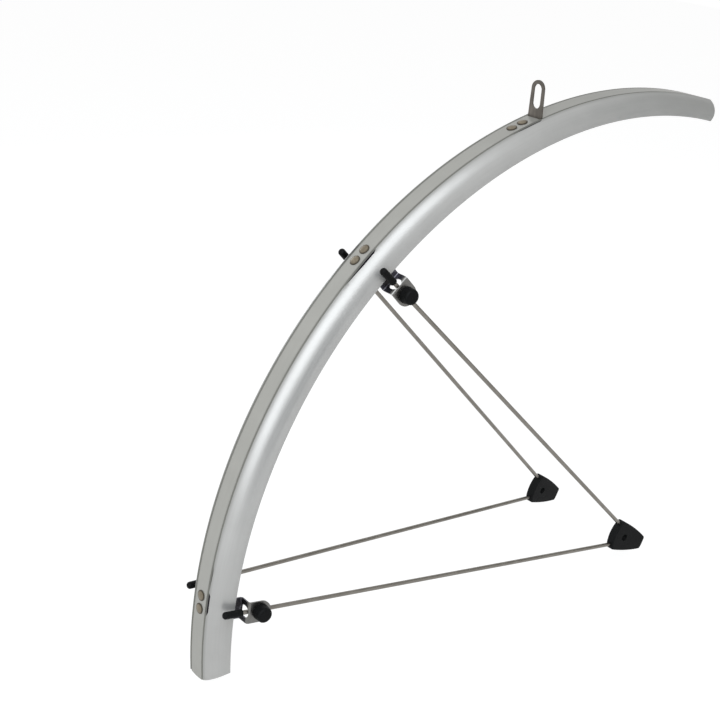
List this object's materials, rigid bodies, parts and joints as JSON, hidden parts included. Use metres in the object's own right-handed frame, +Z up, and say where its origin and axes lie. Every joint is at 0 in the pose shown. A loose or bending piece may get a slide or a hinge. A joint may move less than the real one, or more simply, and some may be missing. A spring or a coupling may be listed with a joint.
{
  "type": "bicycle mudguard",
  "caption": "Front bicycle mudguard: a curved channel blade with a slotted fork bracket and V-shaped wire stays that clamp to the blade and end in breakaway clips.",
  "frame": {"origin": "centre of the slot in the fork bracket's tab, in the middle of the tab's thickness", "axes": "+X forward along the bicycle, +Y to the rider's left, +Z up"},
  "size_m": [0.4359, 0.103, 0.3859],
  "materials": {
    "blade_laminate": "satin silver-grey laminate",
    "bracket_steel": "dull dark steel",
    "bridge_steel": "rolled stainless steel",
    "rivet_alloy": "dull alloy",
    "stay_wire": "drawn stainless wire",
    "bolt_steel": "turned stainless steel",
    "black_plastic": "satin moulded black plastic"
  },
  "bodies": {
    "root": {"blade": "blade_laminate", "fork_bracket": "bracket_steel", "fork_bracket_rivets": "rivet_alloy", "upper_stay_bridge": "bridge_steel", "upper_bridge_rivets": "rivet_alloy", "lower_stay_bridge": "bridge_steel", "lower_bridge_rivets": "rivet_alloy", "right_stay": "stay_wire", "left_stay": "stay_wire", "right_safety_clip": "black_plastic", "left_safety_clip": "black_plastic", "upper_right_eye_bolt": "bolt_steel", "upper_right_cap_nut": "black_plastic", "upper_right_end_cap": "black_plastic", "upper_left_eye_bolt": "bolt_steel", "upper_left_cap_nut": "black_plastic", "upper_left_end_cap": "black_plastic", "lower_right_eye_bolt": "bolt_steel", "lower_right_cap_nut": "black_plastic", "lower_right_end_cap": "black_plastic", "lower_left_eye_bolt": "bolt_steel", "lower_left_cap_nut": "black_plastic", "lower_left_end_cap": "black_plastic"}
  },
  "joints": []
}
